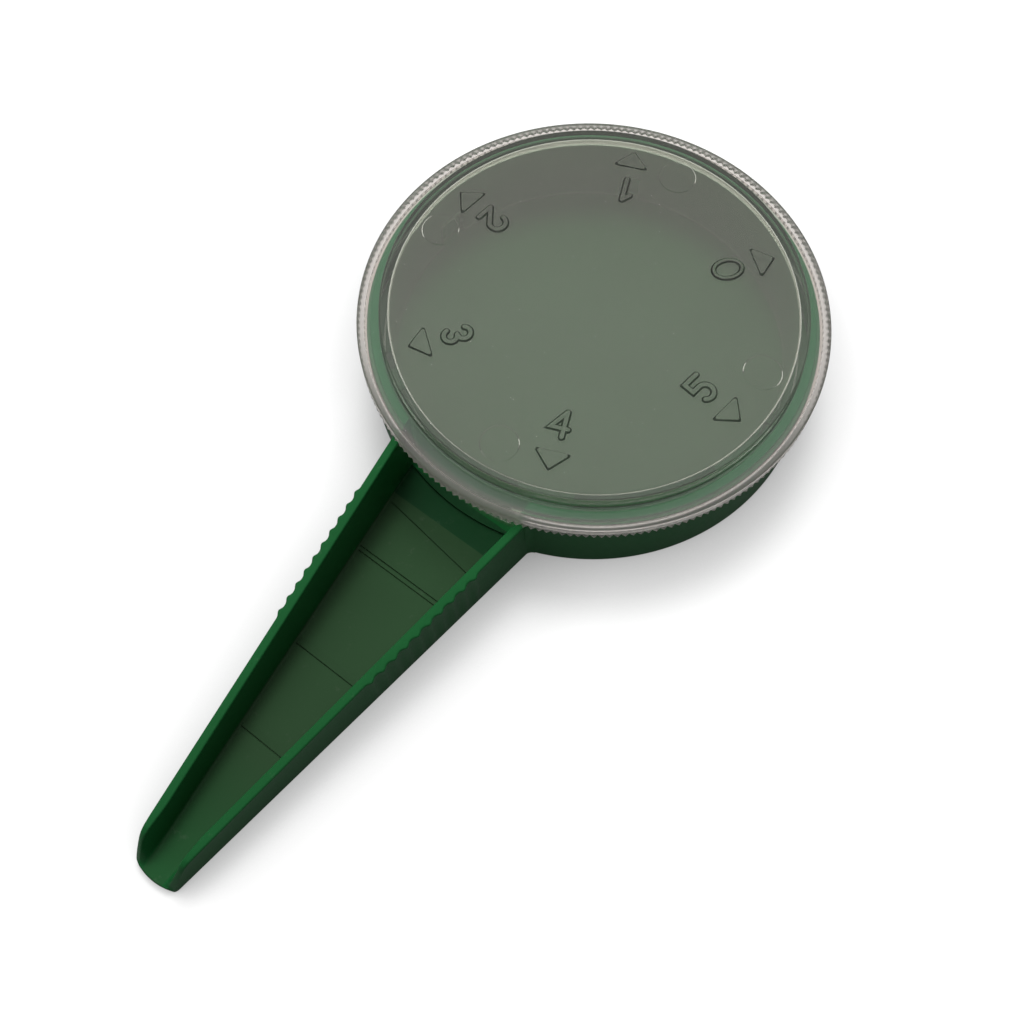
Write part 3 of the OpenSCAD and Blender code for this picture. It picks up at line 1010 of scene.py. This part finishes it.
def numeral_paths(number, stroke):
    """Middle lines of a numeral's strokes, upright round the origin, as (points, closed)"""
    x = (NUMERAL_W - stroke) / 2
    y = (NUMERAL_H - stroke) / 2
    if number == 0:
        oval = [(1.15 * x * math.cos(a * math.pi / 18), 1.03 * y * math.sin(a * math.pi / 18))
                for a in range(36)]
        return [(oval, True)]
    if number == 1:
        return [([(0, -y), (0, y)], False), ([(-1.2, y - 1.2), (0, y)], False)]
    if number == 2:
        bend = arc(0, y - x, x, 180, -30)
        return [(bend + [(-x, -y)], False), ([(-x, -y), (x, -y)], False)]
    if number == 3:
        return [(arc(0, y / 2, y / 2, 160, -90), False), (arc(0, -y / 2, y / 2, 90, -160), False)]
    if number == 4:
        return [([(x / 2, -y), (x / 2, y)], False),
                ([(x, -y / 3), (-x, -y / 3), (x / 2, y)], False)]
    belly = 0.6 * y
    return [([(x, y), (-x, y), (-x, 2 * belly - y), (x - belly, 2 * belly - y)], False),
            (arc(x - belly, belly - y, belly, 90, -140), False)]


def lay_on_disc(points, distance, angle):
    """Plan points, upright round the origin, moved out along a setting's angle"""
    turned = [Vector((distance - y, x)) for x, y in points]
    spin = Matrix.Rotation(angle, 2)
    return [tuple(spin @ p) for p in turned]


def setting_angle(number, sizes):
    """Where a setting's marks and its gate lie round the lid"""
    return sizes.zero_angle + number * math.tau / SETTINGS


def make_mark(number, sizes):
    """Raised solids of a numeral and its triangle, with sides that lean in"""
    angle = setting_angle(number, sizes)
    top = DISC_TOP + sizes.mark_rise
    slope = ((0.15, DISC_TOP - 0.5), (0.15, DISC_TOP + 0.02), (-0.12, top - 0.03), (-0.16, top))
    solids = []
    stroke = ZERO_STROKE if number == 0 else sizes.stroke
    for index, (path, closed) in enumerate(numeral_paths(number, stroke)):
        name = f"numeral_{number}_{index}"
        levels = [(stroke / 2 + out, z) for out, z in slope]
        if closed:
            outlines = [(offset_path(path, h, True), z) for h, z in levels]
            outlines += [(offset_path(path, -h, True), z) for h, z in reversed(levels)]
            heights = [z for _, z in outlines]
            sections = []
            for k in range(len(path)):
                flat = lay_on_disc([outline[k] for outline, _ in outlines], NUMERAL_AT, angle)
                sections.append([(*p, z) for p, z in zip(flat, heights)])
            solids.append(loft(name, sections, hoop=True))
        else:
            solids.append(prism(name, [
                (lay_on_disc(stroke_outline(path, h), NUMERAL_AT, angle), z) for h, z in levels]))
    solids.append(make_triangle(number, slope, angle))
    return solids


def make_triangle(number, slope, angle):
    """Raised triangle that points outwards, outside its numeral"""
    middle = Vector((0, -TRIANGLE_H / 3))
    rows = []
    for out, z in slope:
        corners = []
        for corner in ((-TRIANGLE_HALF, 0.0), (TRIANGLE_HALF, 0.0), (0.0, -TRIANGLE_H)):
            way = (middle - Vector(corner)).normalized()
            corners.append((*(Vector(corner) + way * -out * 1.6), 0.35))
        rows.append((lay_on_disc(rounded(corners), TRIANGLE_AT, angle), z))
    return prism(f"triangle_{number}", rows)


def make_gate_cut(number, sizes):
    """Cutter of the opening that a setting brings to the throat"""
    half = number * sizes.gate_width / 2
    top = RING_Z + GATE_H
    outline = rounded([(-half, 0.5, 0), (half, 0.5, 0), (half, top, 0.5), (-half, top, 0.5)])
    spin = Matrix.Rotation(setting_angle(number, sizes), 3, "Z")
    sections = []
    for r in (RING_IN_R - 2.5, RING_R + 1.5):
        sections.append([tuple(spin @ Vector((r, across, z))) for across, z in outline])
    return loft(f"gate_{number}", sections)


def make_ejector_cut(angle):
    """Cutter of a shallow round mark under the disc"""
    middle = Matrix.Rotation(math.radians(angle), 2) @ Vector((EJECTOR_AT, 0))
    rows = []
    for radius, z in ((EJECTOR_R, DISC_Z - 1), (EJECTOR_R, DISC_Z),
                      (EJECTOR_R - EJECTOR_DEPTH, DISC_Z + EJECTOR_DEPTH)):
        ring = arc(0, 0, radius, 0, 360, 64)[:-1]
        rows.append(([(middle.x + x, middle.y + y) for x, y in ring], z))
    return prism(f"ejector_{angle:.0f}", rows)


def make_lid(context):
    """The clear moulding in one piece"""
    sizes = context.scene.sower_lid
    material = clear_plastic(context.scene.sower_finish.clear)
    lip_r = TOOTH_ROOT_R + sizes.tooth_height
    skirt = [(lip_r, FLANGE_TOP, 0.35), (lip_r, TEETH_TOP + 0.1, 0.05),
             (TOOTH_ROOT_R, TEETH_TOP - 0.1, 0), (TOOTH_ROOT_R, SKIRT_Z, 0.12)]
    profile = rounded([
        (0, DISC_TOP, 0), (RING_R, DISC_TOP, 0.35), (RING_R, FLANGE_TOP, 0.3), *skirt,
        (HOOK_R, SKIRT_Z, 0.1), (HOOK_R, SKIRT_Z + HOOK_H, 0.1),
        (SKIRT_IN_R, SKIRT_Z + HOOK_H + 0.2, 0.15), (SKIRT_IN_R, FLANGE_Z, 0.3),
        (RING_R, FLANGE_Z, 0.3), (RING_R, RING_Z, 0.35), (RING_IN_R, RING_Z, 0.35),
        (RING_IN_R, DISC_Z, 0.6), (0, DISC_Z, 0)])
    around = POINTS_TO_A_TOOTH * sizes.tooth_count
    lid = revolve("dial_lid_clear", profile, around)
    lifts = [0.0, 0.0]
    toothed = [float(r > TOOTH_ROOT_R - 0.05 and z < TEETH_TOP) for r, z in profile[1:-1]]
    lifts += around * toothed
    tree = ridge_tree("Skirt teeth", around=True)
    raise_ridges(lid, tree, lifts, Pitch=math.tau / sizes.tooth_count, Start=0.0,
                 Height=sizes.tooth_height * MM, Roundness=TOOTH_BLUNT, Material=material)
    cuts = [make_gate_cut(number, sizes) for number in range(1, SETTINGS)]
    cuts += [make_ejector_cut(angle) for angle in EJECTOR_ANGLES]
    combine(lid, cuts, "DIFFERENCE")
    marks = [solid for number in range(SETTINGS) for solid in make_mark(number, sizes)]
    combine(lid, marks, "UNION")
    smooth(lid, material, LID_SHARP)
    hand_over(lid, "dial", LID_NODE)


# ------------------------------------------------------------ stage

FLOOR_HALF = 1500
# how far from the sower its contact shadow reaches, in metres
SHADOW_REACH = 0.018
FLOOR_GLOW = 0.86
FLOOR_IN_GLOSS = 0.12
WORLD_LEVEL = 0.34
# the height in the sky above which gloss shows it white, and how bright it is below
SKY_FROM, SKY_FULL, SKY_LOW = 0.755, 0.85, 0.1
# lamps as (name, place, width, power); both point at a spot a little up the chute
LAMPS = (("key", (-0.2, 0.24, 0.56), 0.22, 3.4), ("fill", (-0.4, -0.1, 0.4), 0.3, 0.7))
LAMP_TARGET = (0, -0.03, 0)

# the camera, fitted to the outlines of the sower: degrees, mm and pixels
CAMERA_AZIMUTH, CAMERA_ELEVATION, CAMERA_DISTANCE = 30.2921, 60.001476, 224.59986
CAMERA_YAW, CAMERA_PITCH, CAMERA_ROLL = 3.34369, -7.584921, 5.729274
FOCAL_PIXELS = 1149.26327
FRAME_PIXELS = 1010
SENSOR = 36.0


def background_rays(tree, mirrored):
    """Strength of the white background: 1 for camera and transmission rays, and a
    strength of its own for glossy rays"""
    rays = tree.nodes.new("ShaderNodeLightPath")
    m = Maths(tree)
    glossy = m("MULTIPLY", rays.outputs["Is Glossy Ray"], mirrored)
    seen = m("MAXIMUM", rays.outputs["Is Camera Ray"], glossy)
    return m("MAXIMUM", seen, rays.outputs["Is Transmission Ray"])


def make_floor(colour):
    """A pale floor that keeps the sower's soft shadow"""
    far = FLOOR_HALF
    floor = mesh_object("floor", [(-far, -far, 0), (far, -far, 0), (far, far, 0), (-far, far, 0)],
                        [(0, 1, 2, 3)])
    material = bpy.data.materials.new("Pale floor")
    material.use_nodes = True
    tree = material.node_tree
    tree.nodes.clear()
    output = tree.nodes.new("ShaderNodeOutputMaterial")
    matt = tree.nodes.new("ShaderNodeBsdfDiffuse")
    matt.inputs["Color"].default_value = (*colour, 1)
    glow = tree.nodes.new("ShaderNodeEmission")
    m = Maths(tree)
    near = tree.nodes.new("ShaderNodeAmbientOcclusion")
    near.inputs["Distance"].default_value = SHADOW_REACH
    glow_level = m("MULTIPLY", near.outputs["AO"], FLOOR_GLOW)
    white = m("MULTIPLY", background_rays(tree, FLOOR_IN_GLOSS), glow_level)
    tree.links.new(white, glow.inputs["Strength"])
    both = tree.nodes.new("ShaderNodeAddShader")
    tree.links.new(matt.outputs[0], both.inputs[0])
    tree.links.new(glow.outputs[0], both.inputs[1])
    tree.links.new(both.outputs[0], output.inputs["Surface"])
    floor.data.materials.append(material)


def make_world():
    """A dim, even sky that looks white behind the sower and overhead in its gloss"""
    world = bpy.data.worlds.new("Studio")
    bpy.context.scene.world = world
    world.use_nodes = True
    tree = world.node_tree
    tree.nodes.clear()
    output = tree.nodes.new("ShaderNodeOutputWorld")
    back = tree.nodes.new("ShaderNodeBackground")
    m = Maths(tree)
    direction = tree.nodes.new("ShaderNodeTexCoord").outputs["Generated"]
    overhead = remap(tree, m.parts(direction)[2], SKY_FROM, SKY_FULL, SKY_LOW, 1.0)
    seen = background_rays(tree, overhead)
    level = m("ADD", m("MULTIPLY", seen, 1.0 - WORLD_LEVEL), WORLD_LEVEL)
    tree.links.new(level, back.inputs["Strength"])
    tree.links.new(back.outputs[0], output.inputs["Surface"])


def make_lamp(name, place, size, power):
    """A square lamp that neither gloss nor the clear lid shows"""
    data = bpy.data.lights.new(name, "AREA")
    data.shape = "SQUARE"
    data.size = size
    data.energy = power
    lamp = bpy.data.objects.new(name, data)
    bpy.context.scene.collection.objects.link(lamp)
    lamp.location = place
    aim = Vector(LAMP_TARGET) - Vector(place)
    lamp.rotation_euler = aim.to_track_quat("-Z", "Y").to_euler()
    lamp.visible_glossy = False
    lamp.visible_transmission = False


def make_camera():
    """The photograph's view: a close camera above and to the right of the chute"""
    azimuth, elevation = math.radians(CAMERA_AZIMUTH), math.radians(CAMERA_ELEVATION)
    back = Vector((math.sin(azimuth) * math.cos(elevation),
                   -math.cos(azimuth) * math.cos(elevation), math.sin(elevation)))
    place = back * CAMERA_DISTANCE * MM
    right = Vector((math.cos(azimuth), math.sin(azimuth), 0))
    up = back.cross(right)
    turn = Matrix.Rotation(math.radians(CAMERA_YAW), 3, up)
    right, back = turn @ right, turn @ back
    turn = Matrix.Rotation(math.radians(CAMERA_PITCH), 3, right)
    up, back = turn @ up, turn @ back
    turn = Matrix.Rotation(math.radians(CAMERA_ROLL), 3, back)
    up, right = turn @ up, turn @ right
    data = bpy.data.cameras.new("Camera")
    data.sensor_fit = "HORIZONTAL"
    data.sensor_width = SENSOR
    data.lens = SENSOR * FOCAL_PIXELS / FRAME_PIXELS
    data.clip_start = 0.01
    camera = bpy.data.objects.new("Camera", data)
    bpy.context.scene.collection.objects.link(camera)
    camera.matrix_world = Matrix((
        (right.x, up.x, back.x, place.x), (right.y, up.y, back.y, place.y),
        (right.z, up.z, back.z, place.z), (0, 0, 0, 1)))
    bpy.context.scene.camera = camera


def make_stage(context):
    """The floor, the sky, the lamps and the camera"""
    make_floor(context.scene.sower_finish.floor)
    make_world()
    for lamp in LAMPS:
        make_lamp(*lamp)
    make_camera()
    context.scene.view_settings.view_transform = "Standard"


# ------------------------------------------------------------ add-on

class SOWER_OT_body(bpy.types.Operator):
    """Make the green dish with its chute, grip ridges and pointer"""
    bl_idname = "sower.body"
    bl_label = "Body"

    def execute(self, context):
        make_body(context)
        return {"FINISHED"}


class SOWER_OT_dial_lid(bpy.types.Operator):
    """Make the clear dial lid with its gates, teeth and raised numerals"""
    bl_idname = "sower.dial_lid"
    bl_label = "Dial lid"

    def execute(self, context):
        make_lid(context)
        return {"FINISHED"}


class SOWER_OT_stage(bpy.types.Operator):
    """Make the floor, the lamps and the camera"""
    bl_idname = "sower.stage"
    bl_label = "Stage"

    def execute(self, context):
        make_stage(context)
        return {"FINISHED"}


STEPS = (SOWER_OT_body, SOWER_OT_dial_lid, SOWER_OT_stage)
GROUPS = {"sower_body": SowerBodySizes, "sower_lid": SowerLidSizes, "sower_finish": SowerFinish}


class SOWER_PT_panel(bpy.types.Panel):
    """Lists the sizes, the colours and the steps that make the sower"""
    bl_idname = "SOWER_PT_panel"
    bl_label = "Seed sower"
    bl_space_type = "VIEW_3D"
    bl_region_type = "UI"
    bl_category = "Seed sower"

    def draw(self, context):
        for name, group in GROUPS.items():
            box = self.layout.box()
            for label in group.__annotations__:
                box.prop(getattr(context.scene, name), label)
        for step in STEPS:
            self.layout.operator(step.bl_idname)


def register():
    """Makes the steps, the sizes and the panel known"""
    for item in (*GROUPS.values(), *STEPS, SOWER_PT_panel):
        bpy.utils.register_class(item)
    for name, group in GROUPS.items():
        setattr(bpy.types.Scene, name, PointerProperty(type=group))


def unregister():
    """Takes them away again"""
    for name in GROUPS:
        delattr(bpy.types.Scene, name)
    for item in reversed((*GROUPS.values(), *STEPS, SOWER_PT_panel)):
        bpy.utils.unregister_class(item)


def main():
    """Makes the whole sower and its stage"""
    register()
    for step in STEPS:
        group, name = step.bl_idname.split(".")
        getattr(getattr(bpy.ops, group), name)()


if __name__ == "__main__":
    main()
